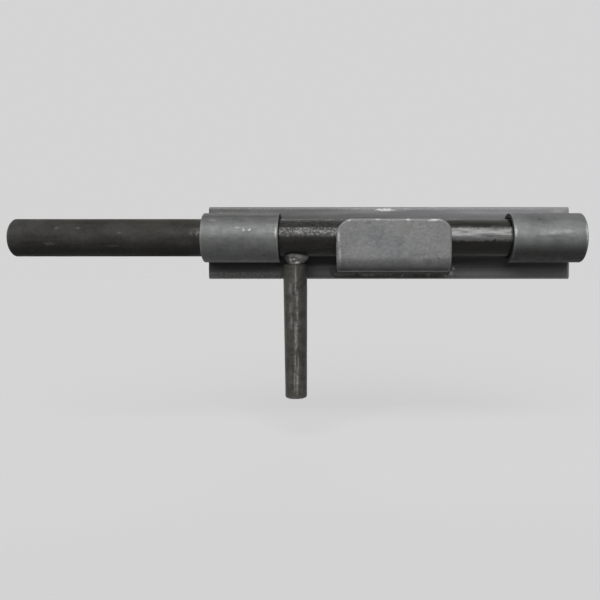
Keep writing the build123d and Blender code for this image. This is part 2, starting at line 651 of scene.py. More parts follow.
class Ground(Wiring):
    """What a finish is laid on: a material's wiring, with places on the piece and patches of scale."""

    def __init__(self, tree: bpy.types.NodeTree, finish: "SteelFinish") -> None:
        """Lay out the places and the patches.

        Args:
            tree: the material's node tree.
            finish: what is laid on it.
        """
        super().__init__(tree)
        self.place = self.node("ShaderNodeTexCoord").outputs["Object"]
        self.drawn = self.vector("MULTIPLY", self.place, finish.grain.value)
        self.mottle = self.effect(
            MOTTLE,
            Place=self.place,
            Drawn=self.drawn,
            Scale=finish.mottle_scale,
            Contrast=finish.mottle_contrast,
        )

    def along(self, axis: int = 0) -> Socket:
        """How far the place is along one axis, by default the bolt's direction."""
        return self.node("ShaderNodeSeparateXYZ", {0: self.place}).outputs[axis]


@dataclass(frozen=True)
class SteelFinish:
    """A bare steel surface: scale and worn metal in patches, with pits, scratches and bright edges, painted
    shade where faces look down or a piece's mask asks for it, and painted glints among its marks.
    """

    name: str
    slot: str
    grain: Grain
    dark: Triple
    light: Triple
    stain: Triple
    bright: Triple
    # Near-black for pits and soot, and for painted shade.
    soot: Triple = (0.012, 0.0118, 0.011)
    sheen: Triple = (1.0, 1.0, 1.0)
    metallic: float = 0.12
    specular: float = 0.4
    smooth_rough: float = 0.4
    dull_rough: float = 0.6
    rough_streaks: Pair = (0.1, 0.9)
    coat_rough: float = 0.16
    mottle_scale: float = 90.0
    mottle_contrast: float = 2.4
    fine_share: float = 0.2
    streak_share: float = 0.35
    stain_share: float = 0.45
    pit_scale: float = 420.0
    pit_share: float = 0.12
    pit_cover: float = 0.7
    nick_scale: float = 0.8
    nick_share: float = 0.04
    scratch_scale: float = 900.0
    scratch_share: float = 0.0
    scratch_cover: float = 0.4
    edge_scale: float = 700.0
    edge_amount: float = 0.35
    edge_polish: float = -0.18
    # How strongly painted shade darkens faces that look down.
    under_shade: float = 0.4
    dust: float = 0.3
    soot_and_shade_cover: float = 0.85
    dirt_dull: float = 0.2
    bump: float = 0.2
    bump_depth: float = 0.15 * MM
    pit_height: float = -0.5
    streak_height: float = 0.6
    scratch_height: float = -0.3
    mark_draw: Triple = (0.7, 1.0, 1.0)
    scuffs_and_glints: tuple[Mark, ...] = ()
    specks: tuple[Mark, ...] = ()

    def material(self) -> bpy.types.Material:
        """Give the finish's material, made the first time it is asked for.

        Returns:
            The material.
        """
        made = bpy.data.materials.get(self.name)
        if made is None:
            made = bpy.data.materials.new(self.name)
            made.use_nodes = True
            self.lay(Ground(made.node_tree, self))
        return made

    def marked(self, ground: Ground, marks: Sequence[Mark]) -> object:
        """A mask over a set of single marks.

        Args:
            ground: what the finish is laid on.
            marks: the marks.

        Returns:
            A socket, or 0 where there are no marks.
        """
        mask = 0.0
        for mark in marks:
            drawn = ground.vector("MULTIPLY", ground.place, self.mark_draw)
            one = ground.effect(MARK, Place=ground.place, Drawn=drawn, Spot=mark.place, Size=mark.size)
            mask = ground.math("MAXIMUM", mask, ground.times(one["Mask"], mark.strength))
        return mask

    def tone(self, ground: Ground) -> Socket:
        """The steel's own colour, before pits and wear.

        Args:
            ground: what the finish is laid on.

        Returns:
            The colour.
        """
        mottle = ground.mottle
        blend = ground.times(mottle["Broad"], 1 - self.fine_share - self.streak_share)
        for label, share in (("Fine", self.fine_share), ("Streak", self.streak_share)):
            blend = ground.scaled(mottle[label], share, blend)
        clean = ground.mix(blend, self.dark, self.light)
        return ground.mix(ground.times(mottle["Stain"], self.stain_share), clean, self.stain)

    def dullness(self, ground: Ground) -> Socket:
        """How rough the steel is, before pits and wear."""
        rough = (self.smooth_rough, self.dull_rough)
        return ground.step(ground.mottle["Streak"], *self.rough_streaks, to=rough)

    def pitting(self, ground: Ground) -> object:
        """How thick the pits lie."""
        return self.pit_share

    def shine(self, ground: Ground) -> object:
        """How much bare metal shows through."""
        return self.metallic

    def film(self, ground: Ground, pits: Socket) -> object:
        """How much of an oil film lies on the steel."""
        return 0.0

    def lay(self, ground: Ground) -> None:
        """Build the material.

        Args:
            ground: what the finish is laid on.
        """
        place, drawn, mottle = ground.place, ground.drawn, ground.mottle
        edge, soot = (
            ground.node("ShaderNodeAttribute", attribute_name=mask.value).outputs["Fac"] for mask in Mask
        )
        pits, nicks, lines, worn = (
            ground.effect(effect, Place=where, Scale=scale, **rest)["Mask"]
            for effect, where, scale, rest in (
                (PITS, place, self.pit_scale, {"Share": self.pitting(ground)}),
                (PITS, drawn, self.pit_scale * self.nick_scale, {"Share": self.nick_share}),
                (SCRATCHES, drawn, self.scratch_scale, {"Share": self.scratch_share}),
                (WEAR, place, self.edge_scale, {"Edge": edge, "Amount": self.edge_amount}),
            )
        )
        shade_and_dust = ground.effect(UNDER_SHADE_AND_DUST, Grime=self.under_shade, Dust=self.dust)
        colour = self.tone(ground)
        # Colour layers: scratches, nicks, dust, painted shade under downward faces, the per-point soot and
        # shade mask, edge wear, pits, marks with painted glints, specks.
        for share, over in (
            (ground.times(lines, self.scratch_cover), self.bright),
            (ground.times(nicks, self.scratch_cover), self.bright),
            (shade_and_dust["Above"], self.stain),
            (shade_and_dust["Below"], self.soot),
            (ground.times(soot, self.soot_and_shade_cover), self.soot),
            (worn, self.bright),
            (ground.times(pits, self.pit_cover), self.soot),
            (self.marked(ground, self.scuffs_and_glints), self.bright),
            (self.marked(ground, self.specks), self.soot),
        ):
            colour = ground.mix(share, colour, over)
        # The under-face shade and the soot and shade mask also roughen the steel and take its metal away.
        dirt_and_shade = ground.math("MAXIMUM", soot, shade_and_dust["Below"])
        rough = ground.scaled(worn, self.edge_polish, self.dullness(ground))
        height = ground.scaled(pits, self.pit_height, mottle["Fine"])
        height = ground.scaled(mottle["Streak"], self.streak_height, height)
        height = ground.scaled(lines, self.scratch_height, height)
        bump = {"Strength": self.bump, "Distance": self.bump_depth, "Height": height}
        shader = ground.tree.nodes["Principled BSDF"].inputs
        for label, value in {
            "Base Color": colour,
            "Roughness": ground.scaled(dirt_and_shade, self.dirt_dull, rough, clamp=True),
            "Metallic": ground.times(self.shine(ground), ground.scaled(dirt_and_shade, -self.soot_and_shade_cover, 1.0)),
            "Specular IOR Level": self.specular,
            "Specular Tint": self.sheen,
            "Coat Weight": self.film(ground, pits),
            "Coat Roughness": self.coat_rough,
            "Normal": ground.node("ShaderNodeBump", bump).outputs["Normal"],
        }.items():
            ground.feed(value, shader[label])


@dataclass(frozen=True)
class PlateFinish(SteelFinish):
    """Flat bar whose colour turns paler along its length towards the rear end, as painted light."""

    pale: Triple = (0.2, 0.2, 0.21)
    painted_light_share: float = 0.62

    def tone(self, ground: Ground) -> Socket:
        """Dark scale that turns paler along the bar: painted light, brighter towards the rear end.

        Args:
            ground: what the finish is laid on.

        Returns:
            The colour.
        """
        low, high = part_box("base_plate")
        painted_light = ground.step(ground.along(), low.x, high.x, to=(0.0, self.painted_light_share))
        return ground.mix(painted_light, super().tone(ground), self.pale)


@dataclass(frozen=True)
class BoltFinish(SteelFinish):
    """Round bar that is dull on the bare nose and rubbed glossy where it runs in the guides."""

    rubbed_along: Pair = (-0.138, -0.114)
    rubbed: Triple = (0.3, 0.3, 0.3)
    rubbed_dark: Triple = (0.008, 0.0074, 0.006)
    rubbed_cover: Pair = (0.82, 1.0)
    rubbed_rough: float = 0.26
    rubbed_dull: float = 1.6
    rubbed_draw: Triple = (0.16, 1.0, 1.0)
    film_share: Pair = (0.2, 0.6)
    film_below: Pair = (0.2, 1.0)
    grit_scale: float = 720.0
    grit_share: Pair = (0.22, 1.95)
    ragged_scale: float = 300.0
    ragged: float = 0.012
    ragged_middle: float = 0.68
    fleck_scale: float = 480.0
    fleck_share: Pair = (0.35, 1.0)
    fleck_rise: float = 0.004
    bare_along: Pair = (-0.026, 0.03)
    bare_share: Pair = (0.02, 0.44)
    highlight_band_from: Pair = (0.0012, 0.0034)
    highlight_band_until: Pair = (0.0125, 0.0095)
    pitted: Pair = (-0.075, -0.03)
    pitted_fade: Pair = (1.1, 0.8)
    pitted_share: float = 0.55

    def rubbing(self, ground: Ground) -> Socket:
        """A mask that is 0 on the nose and 1 where the bar is rubbed."""
        return ground.step(ground.along(), *self.rubbed_along)

    def flecks(self, ground: Ground) -> Socket:
        """Cloudy noise that is drawn out along the bar."""
        long = ground.vector("MULTIPLY", ground.place, self.rubbed_draw)
        return ground.noise(long, self.fleck_scale, 3.0)

    def bare(self, ground: Ground) -> Socket:
        """Where rubbing has laid the metal bare in flecks, more of them towards the tail, kept to the band
        where the key light's reflection falls: partly real, partly painted highlight.

        Args:
            ground: what the finish is laid on.

        Returns:
            A mask.
        """
        flecks = ground.step(self.flecks(ground), 0.2, 0.8, to=self.fleck_share)
        most = ground.step(ground.along(), *self.bare_along, to=self.bare_share)
        uneven = ground.noise(ground.place, self.fleck_scale, 3.0)
        height = ground.scaled(uneven, self.fleck_rise, ground.along(2))
        highlight_band = ground.times(ground.step(height, *self.highlight_band_from), ground.step(height, *self.highlight_band_until))
        return ground.times(flecks, highlight_band, most, self.rubbing(ground))

    def tone(self, ground: Ground) -> Socket:
        """Dull scale on the nose, and dark oil with flecks of metal where the bar is rubbed, the flecks
        partly painted highlight.

        Args:
            ground: what the finish is laid on.

        Returns:
            The colour.
        """
        most = ground.step(ground.along(), *self.bare_along, to=self.rubbed_cover)
        oily = ground.mix(ground.times(self.rubbing(ground), most), super().tone(ground), self.rubbed_dark)
        return ground.mix(self.bare(ground), oily, self.rubbed)

    def dullness(self, ground: Ground) -> Socket:
        """Dull on the nose, glossy where the bar is rubbed.

        Args:
            ground: what the finish is laid on.

        Returns:
            The roughness.
        """
        rough = (self.rubbed_rough, self.rubbed_rough * self.rubbed_dull)
        glossy = ground.step(ground.mottle["Streak"], *self.rough_streaks, to=rough)
        return ground.blend(self.rubbing(ground), super().dullness(ground), glossy)

    def pitting(self, ground: Ground) -> object:
        """Thick pits in the bay behind the front guide, and few elsewhere.

        Args:
            ground: what the finish is laid on.

        Returns:
            How thick the pits lie.
        """
        middle, half = sum(self.pitted) / 2, (self.pitted[1] - self.pitted[0]) / 2
        away = ground.math("ABSOLUTE", ground.math("SUBTRACT", ground.along(), middle))
        fade = [half * part for part in self.pitted_fade]
        return ground.step(away, *fade, to=(self.pit_share, self.pitted_share))

    def shine(self, ground: Ground) -> object:
        """Bare metal in the rubbed flecks."""
        return ground.math("ADD", self.bare(ground), self.metallic)

    def film(self, ground: Ground, pits: Socket) -> object:
        """Patchy oil where the bar is rubbed, broken by the pits.

        Args:
            ground: what the finish is laid on.
            pits: a mask of the pits.

        Returns:
            How much oil lies on the steel.
        """
        patches = ground.step(self.flecks(ground), 0.3, 0.7, to=self.film_share)
        grit = ground.step(ground.noise(ground.place, self.grit_scale, 2.0), 0.36, 0.64, to=self.grit_share)
        tailward = ground.step(ground.along(), *self.bare_along)
        patches = ground.times(patches, ground.blend(tailward, grit, 1.0))
        cloud = ground.noise(ground.place, self.ragged_scale, 3.0)
        ragged = ground.scaled(cloud, self.ragged, -self.ragged * self.ragged_middle)
        height = ground.math("ADD", ground.along(2), ground.blend(tailward, ragged, 0.0))
        front = ground.step(height, *self.highlight_band_from, to=self.film_below)
        whole = ground.math("SUBTRACT", 1.0, pits)
        return ground.times(patches, whole, front, self.rubbing(ground))


class Finishes:
    """Every finish on the latch, with the marks that stand out on each piece."""

    def __init__(self, layout: Layout) -> None:
        """Set out the finishes.

        Args:
            layout: the shared places.
        """
        cup_reach, bead_rise = 5.8 * MM, 3 * MM
        face, tab_face = layout.plate_face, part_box("lock_tab")[0].y
        grip_face, cup_face = layout.axis_y - layout.handle_radius, layout.axis_y - cup_reach
        grip_x = layout.handle_x / MM
        on_tube = functools.partial(bar_marks, layout, layout.tube_radius)
        on_bolt = functools.partial(bar_marks, layout, layout.bolt_radius)
        self.plate = PlateFinish(
            name="rolled_flat_bar", slot="plate_steel", grain=Grain.ALONG_X,
            dark=(0.022, 0.0215, 0.022), light=(0.064, 0.0625, 0.066),
            stain=(0.034, 0.033, 0.029), bright=(0.4, 0.4, 0.385),
            metallic=0.3, smooth_rough=0.36, dull_rough=0.56, mottle_scale=45.0, mottle_contrast=3.0,
            streak_share=0.5, scratch_share=0.05,
            # Bright scuffs on the top edge, a painted highlight down the sawn rear end, and two painted
            # patches of light right of the tab where its shadow ends.
            scuffs_and_glints=flat_marks(
                face, (-2.5, 23.4, 8, 1.4, 1.0), (119, 22.4, 5, 1.6, 0.3), (126.4, -17.5, 1.0, 8.0, 0.5),
                (45.1, -18.0, 1.6, 2.0, 0.6), (43.6, -21.2, 2.2, 1.8, 0.6),
            ),
            specks=flat_marks(face, (57.6, -17.6, 0.6, 1.1, 0.8), (46.5, -23.6, 1.8, 1.0, 0.8)),
        )
        pipe = dict(
            slot="pipe_steel", grain=Grain.CROSSED, bright=(0.4, 0.4, 0.4), metallic=0.32,
            smooth_rough=0.42, dull_rough=0.58, mottle_scale=95.0, mottle_contrast=3.0, scratch_share=0.06,
            edge_amount=0.1,
        )
        # The rear pipe's colours are lighter than the front pipe's as painted light, brighter towards the
        # rear end. It also gets more painted shade underneath.
        self.front_pipe = SteelFinish(
            name="front_cut_pipe", **pipe, under_shade=0.25, nick_share=0.06,
            dark=(0.06, 0.0614, 0.0635), light=(0.146, 0.148, 0.151), stain=(0.088, 0.088, 0.08),
            # Bright marks, the last of them a painted glint along the rim of the rear end.
            scuffs_and_glints=on_tube(
                (-101.2, 5.9, 2.6, 0.8, 0.3), (-97.2, 4.4, 0.9, 1.3, 0.6), (-93.3, 4.6, 1.0, 1.1, 0.6),
                (-118, 11, 3.0, 1.2, 0.3), (-76.4, 2.8, 0.7, 4.6, 0.8),
            ),
            specks=on_tube(
                (-84.6, -12.4, 1.1, 1.1, 0.95), (-112, -9, 5, 1.6, 0.25), (-107.5, -3.5, 3.2, 1.2, 0.2),
                (-90, -8.5, 4, 2.2, 0.2),
            ),
        )
        self.rear_pipe = SteelFinish(
            name="rear_cut_pipe", **pipe, under_shade=1.0, dust=0.8, nick_share=0.1,
            dark=(0.076, 0.078, 0.079), light=(0.182, 0.187, 0.187), stain=(0.085, 0.088, 0.083),
            # Two scratched patches, then painted highlights along the rim of the rear end and the rim of
            # the front end.
            scuffs_and_glints=on_tube(
                (103, 2.4, 9.0, 2.4, 0.35), (114, 3.4, 5.0, 1.6, 0.35), (126.9, 3, 1.1, 8.0, 0.7),
                (80.5, 4, 0.9, 5.0, 0.6),
            ),
            specks=on_tube(
                (97, 11.6, 2.0, 0.9, 0.6), (92, -6, 0.9, 0.8, 0.7), (105, 0.5, 8.0, 1.4, 0.4)
            ),
        )
        self.tab = SteelFinish(
            name="sheared_tab", slot="tab_steel", grain=Grain.CROSSED,
            dark=(0.083, 0.084, 0.086), light=(0.172, 0.172, 0.177),
            stain=(0.11, 0.111, 0.102), bright=(0.36, 0.36, 0.355),
            metallic=0.35, smooth_rough=0.42, dull_rough=0.58, mottle_scale=60.0, mottle_contrast=4.6,
            fine_share=0.3, scratch_share=0.12, edge_amount=0.14, under_shade=0.2,
            # Bright marks along the top edge, then a painted highlight down the left side in the last two
            # marks.
            scuffs_and_glints=flat_marks(
                tab_face, (-28.8, 13.6, 3.2, 1.2, 1.0), (-10.2, 13.7, 2.4, 1.2, 0.9),
                (9.8, 13.5, 2.0, 1.2, 0.9), (26.4, 13.2, 5.4, 1.3, 0.9), (-35.2, 2.0, 1.0, 5.2, 0.8),
                (-34.4, -9.5, 1.1, 9.5, 0.45),
            ),
            specks=flat_marks(
                tab_face, (-16, 11.4, 3.0, 0.8, 0.5), (29.5, -11.6, 1.6, 0.9, 0.5),
                (17, -9.4, 7.0, 1.4, 0.3),
            ),
        )
        self.bolt = BoltFinish(
            name="round_bolt_bar", slot="bar_steel", grain=Grain.ALONG_X,
            dark=(0.008, 0.0078, 0.0074), light=(0.048, 0.047, 0.0445),
            stain=(0.036, 0.03, 0.022), bright=(0.2, 0.2, 0.2), sheen=(0.98, 0.98, 0.98),
            metallic=0.03, specular=0.12, smooth_rough=0.5, dull_rough=0.7, mottle_scale=55.0,
            mottle_contrast=4.4, bump=0.32, streak_share=0.4, stain_share=0.3, scratch_share=-0.02,
            edge_amount=0.08, under_shade=0.6, dust=0.8, pit_scale=330.0,
            scuffs_and_glints=on_bolt(
                (-221.2, 5.9, 2.0, 1.3, 0.4), (-207.1, 5.9, 1.8, 0.8, 0.4), (-179.4, 2.5, 2.2, 0.9, 0.25),
                (-184, -5.9, 6.0, 0.8, 0.15), (-225.6, -4.4, 4.8, 1.6, 0.2),
            ),
            # The first speck darkens a band on the bolt just before the front pipe's mouth.
            specks=on_bolt(
                (-130.4, 0, 1.8, 11, 0.7), (-180, -1.4, 12, 2.6, 0.5), (-141, -0.8, 12, 3.0, 0.45),
                (-224, 6.4, 5, 2.4, 0.4),
            ),
        )
        self.handle = SteelFinish(
            name="round_handle_bar", slot="bar_steel", grain=Grain.ALONG_Z,
            dark=(0.006, 0.0059, 0.0053), light=(0.066, 0.0652, 0.06),
            stain=(0.036, 0.0345, 0.028), bright=(0.21, 0.21, 0.2), sheen=(1.0, 0.97, 0.88),
            metallic=0.08, specular=0.35, smooth_rough=0.3, dull_rough=0.5, mottle_scale=210.0,
            mottle_contrast=5.0, edge_amount=0.3, fine_share=0.12, streak_share=0.25, pit_share=0.3,
            mark_draw=(1.0, 1.0, 0.5),
            # Painted highlight: a broken bright streak down the front, where the key light's reflection
            # falls.
            scuffs_and_glints=flat_marks(
                grip_face, (1.0, -26, 0.9, 13, 0.6), (-2.6, -32, 1.5, 6, 0.5), (2.0, -39, 1.0, 10, 0.75),
                (-2.6, -44, 1.7, 5, 0.6), (2.2, -50, 1.0, 8, 0.6), (-2.0, -54, 1.5, 7, 0.4),
                (1.3, -62, 1.4, 14, 0.85), (0.7, -81, 0.8, 8, 0.7), (2.8, -82, 0.8, 8, 0.7),
                (0.4, -94, 0.9, 11, 0.6), (2.1, -94, 1.3, 12, 0.95), (-3.4, -90, 1.2, 12, 0.3), x=grip_x,
            ),
        )
        self.weld = SteelFinish(
            name="weld_bead", slot="weld_metal", grain=Grain.CROSSED,
            dark=(0.007, 0.0067, 0.006), light=(0.1, 0.098, 0.092),
            stain=(0.028, 0.026, 0.021), bright=(0.26, 0.255, 0.24),
            metallic=0.2, smooth_rough=0.3, dull_rough=0.55, mottle_scale=220.0, mottle_contrast=3.6,
            edge_amount=0.5,
            # Painted highlights: the lit end of the tab's bead and a glint on the rear pipe's upper bead.
            scuffs_and_glints=flat_marks(face - bead_rise, (40.5, -23.4, 3.6, 1.4, 0.9), (78.4, 13.2, 1.6, 1.6, 1.0)),
        )
        self.collar = SteelFinish(
            name="weld_collar", slot="weld_metal", grain=Grain.CROSSED,
            dark=(0.035, 0.0345, 0.032), light=(0.24, 0.238, 0.228),
            stain=(0.08, 0.076, 0.064), bright=(0.6, 0.59, 0.56),
            metallic=0.4, smooth_rough=0.22, dull_rough=0.36, mottle_scale=150.0, mottle_contrast=3.4,
            fine_share=0.1, pit_share=0.03, edge_amount=0.3, bump=0.1,
            # Painted glints on the front of the cup.
            scuffs_and_glints=flat_marks(
                cup_face, (2.1, -14.3, 2.0, 1.1, 0.9), (-2.7, -12.3, 1.3, 1.2, 0.4),
                (3.0, -10.3, 2.6, 1.6, 0.2), x=grip_x,
            ),
        )


# Sub-assemblies


@dataclass
class Part:
    """A sub-assembly of one piece, named for itself and for the solid that it stands for.

    Edges sharper than the crease, in degrees, stay sharp.
    """

    layout: Layout
    finish: SteelFinish
    piece: str
    node: str
    body: Body = field(default=Body.BASE, kw_only=True)
    crease: float = field(default=42.0, kw_only=True)

    def skin(self) -> Skin:
        """Shape the piece, each sub-assembly in its own way."""
        raise NotImplementedError

    def dress(self) -> bpy.types.Object:
        """Make the piece, dress it and set it on its body in place of the plain solid.

        Returns:
            The new piece.
        """
        skin, mesh = self.skin(), bpy.data.meshes.new(self.piece)
        mesh.from_pydata(skin.points.reshape(-1, 3).tolist(), [], skin.faces)
        shape = bmesh.new()
        shape.from_mesh(mesh)
        bmesh.ops.recalc_face_normals(shape, faces=shape.faces)
        shape.to_mesh(mesh)
        shape.free()
        for mask in Mask:
            values = skin.masks.get(mask, np.zeros(len(mesh.vertices)))
            layer = mesh.attributes.new(mask.value, "FLOAT", "POINT")
            layer.data.foreach_set("value", np.asarray(values, np.float32).ravel())
        mesh.shade_smooth()
        mesh.set_sharp_from_angle(angle=math.radians(self.crease))
        mesh.materials.append(self.finish.material())
        piece = bpy.data.objects.new(self.piece, mesh)
        bpy.context.scene.collection.objects.link(piece)
        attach(piece, self.body.value)
        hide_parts(self.node)
        return piece


@dataclass
class Plate(Part):
    """The flat bar that everything is welded to."""

    long_edge: float = 2.0 * MM
    cut_edge: float = 0.35 * MM
    edge_fall: float = 0.5 * MM
    edge_reach: float = 3.6 * MM
    mesh_step: float = 2.0 * MM
    end_facing: float = 0.9
    uneven: Uneven = Uneven(0.06 * MM, 14 * MM, 50, 1.6 * MM, 0.12 * MM, (3, 4))
    nicks: Lumps = Lumps(0.25 * MM, 5 * MM, 3, 9, level=-0.35)
    nick_reach: float = 1.5 * MM
    long_wear: float = 1.8 * MM
    cut_wear: float = 1.4 * MM
    strip_along: Pair = (70 * MM, 78 * MM)
    strip_below: Pair = (20 * MM, 24 * MM)
    strip_wear: float = 0.55
    crevice_at: float = 14 * MM
    crevice_reach: float = 5 * MM
    crevice_shade: float = 0.25
    shadow_below: Pair = (10 * MM, 15 * MM)
    shadow_share: float = 0.9
    shadow_fade_below: Pair = (18 * MM, 25 * MM)
    shadow_fade_share: float = 0.7
    rear_along: Pair = (78 * MM, 100 * MM)
    rear_share: float = 0.3

    @staticmethod
    def run(edge: bmesh.types.BMEdge) -> float:
        """How far an edge runs along the bar."""
        return abs(edge.verts[0].co.x - edge.verts[1].co.x)

    def is_long(self, edge: bmesh.types.BMEdge) -> bool:
        """Whether an edge runs along the bar."""
        return self.run(edge) > self.cut_edge

    def is_cut(self, edge: bmesh.types.BMEdge) -> bool:
        """Whether an edge lies round one of the sawn ends."""
        ends = {abs(face.normal.x) > self.end_facing for face in edge.link_faces}
        return self.run(edge) < self.cut_edge and len(ends) == 2

    def skin(self) -> Skin:
        """Bevel a bar, cut it into small faces and give it a rolled, slightly uneven surface.

        Returns:
            The plate's skin.
        """
        low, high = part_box("base_plate")
        size, middle = high - low, (high + low) / 2
        bar = bmesh.new()
        bmesh.ops.create_cube(bar, size=1.0)
        for point in bar.verts:
            point.co = Vector(a * b for a, b in zip(point.co, size)) + middle
        for chosen, offset, parts in ((self.is_long, self.long_edge, 4), (self.is_cut, self.cut_edge, 2)):
            edges = [edge for edge in bar.edges if chosen(edge)]
            bmesh.ops.bevel(bar, geom=edges, offset=offset, segments=parts, profile=0.5, affect="EDGES")
        for normal, span in ((Vector((1, 0, 0)), size.x), (Vector((0, 0, 1)), size.z)):
            cuts = int(span / self.mesh_step)
            for cut in range(1, cuts):
                spot = low + normal * (span * cut / cuts)
                parts = bar.verts[:] + bar.edges[:] + bar.faces[:]
                bmesh.ops.bisect_plane(bar, geom=parts, plane_co=spot, plane_no=normal)
        bar.verts.index_update()
        points = np.array([v.co for v in bar.verts])
        faces = [tuple(v.index for v in f.verts) for f in bar.faces]
        bar.free()
        return self.weathered(points, faces, low, high)

    def weathered(self, points: Array, faces: Faces, low: Vector, high: Vector) -> Skin:
        """Sink the front a little unevenly, mark worn edges, and paint shade in the crevices beside the
        pipes and shadow on the strip below the bolt.

        Args:
            points: the plain bar's points.
            faces: its faces.
            low: the bar's lowest corner.
            high: the bar's highest corner.

        Returns:
            The plate's skin.
        """
        x, y, z = points.T
        height = z - self.layout.axis_z
        to_long = np.minimum(z - low.z, high.z - z)
        front = smooth_step(-y, -self.layout.plate_face / 2, -self.layout.plate_face)
        shaped = points.copy()
        shaped[:, 1] += front * self.uneven.sunk(points)
        shaped[:, 1] += front * self.edge_fall * near(to_long, self.edge_reach)
        nicked = np.maximum(self.nicks.at(points), 0)
        shaped[:, 2] -= np.sign(z) * nicked * near(to_long, self.nick_reach)
        edge = np.maximum(near(to_long, self.long_wear), near(high.x - x, self.cut_wear))
        strip = smooth_step(-x, *self.strip_along) * smooth_step(-height, *self.strip_below)
        edge = np.maximum(edge, self.strip_wear * strip)
        # clean: how far the painted shadow under the bolt and pipes fades towards the bottom edge, less at
        # the rear end.
        clean = self.shadow_fade_share - self.rear_share * smooth_step(x, *self.rear_along)
        clean = clean * smooth_step(-height, *self.shadow_fade_below)
        painted_shadow = smooth_step(-height, *self.shadow_below) * (1 - clean)
        crevice = near(np.abs(height) - self.crevice_at, self.crevice_reach)
        soot = np.maximum(self.crevice_shade * crevice, self.shadow_share * painted_shadow) * front
        return Skin(shaped, faces, {Mask.EDGE: edge, Mask.SOOT: soot})


@dataclass
class GuideTube(Part):
    """One length of pipe that guides the bolt."""

    seed: int
    shaded_end: int
    seam_depth: float = 0.0
    seam_rise: float = 13.6 * MM
    seam_reach: float = 0.6 * MM
    seam_soot: float = 0.45
    wall: float = 3.38 * MM
    edge_break: float = 0.5 * MM
    uneven: Uneven = Uneven(0.03 * MM, 9 * MM, 70, 1.1 * MM, 0.1 * MM, (0, 0))
    saw: Lumps = Lumps(0.06 * MM, 1.2 * MM, 2, 0, level=1)
    saw_draw: Triple = (1, 0.25, 1)
    cut_margin: float = 1.1
    skin_share: float = 0.6
    bore_share: float = 0.5
    end_shade_depth: float = 0.1 * MM
    end_shade_wear: float = 0.3
    mesh_step: float = 1.2 * MM
    sides: int = 176

    def skin(self) -> Skin:
        """Turn the pipe's section and give it uneven saw cuts and shallow knocks.

        Returns:
            The pipe's skin.
        """
        low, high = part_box(self.node)
        layout, outer = self.layout, self.layout.tube_radius
        inner, middle, half = outer - self.wall, (low.x + high.x) / 2, (high.x - low.x) / 2
        ends = ((low.x, outer), (high.x, outer), (high.x, inner), (low.x, inner))
        path, edge = rounded_path([Corner(*end, self.edge_break) for end in ends], True, self.mesh_step)
        rows = turned(path, self.sides)
        spots = layout.on_bolt_axis(rows)
        seam = near(spots[..., 2] - layout.axis_z - self.seam_rise, self.seam_reach)
        seam = seam * (spots[..., 1] < layout.axis_y) * (self.seam_depth > 0)
        sunk = replace(self.uneven, seeds=(self.seed, self.seed + 5)).sunk(spots) + self.seam_depth * seam
        draw_in(rows, path, sunk * smooth_step(path[:, 1:], inner + self.wall * self.skin_share, outer))
        from_middle = path[:, :1] - middle
        cut = np.abs(from_middle) > half - self.edge_break * self.cut_margin
        saw = replace(self.saw, seed=self.seed + 9).at(spots * np.array(self.saw_draw))
        rows[..., 0] -= np.sign(from_middle) * saw * cut
        # Painted shade: darker inside the bore and on one end face, where the edge wear is also toned down.
        inside = smooth_step(-path[:, 1:], -(outer - self.wall * self.bore_share), -inner)
        shade_band = from_middle * self.shaded_end > half - self.end_shade_depth
        edge = np.repeat(edge[:, None] * np.where(shade_band, self.end_shade_wear, 1), self.sides)
        soot = np.maximum(np.maximum(inside, shade_band), self.seam_soot * seam)
        faces = sheet_faces(len(path), self.sides, True, True)
        return Skin(layout.on_bolt_axis(rows), faces, {Mask.EDGE: edge, Mask.SOOT: soot})


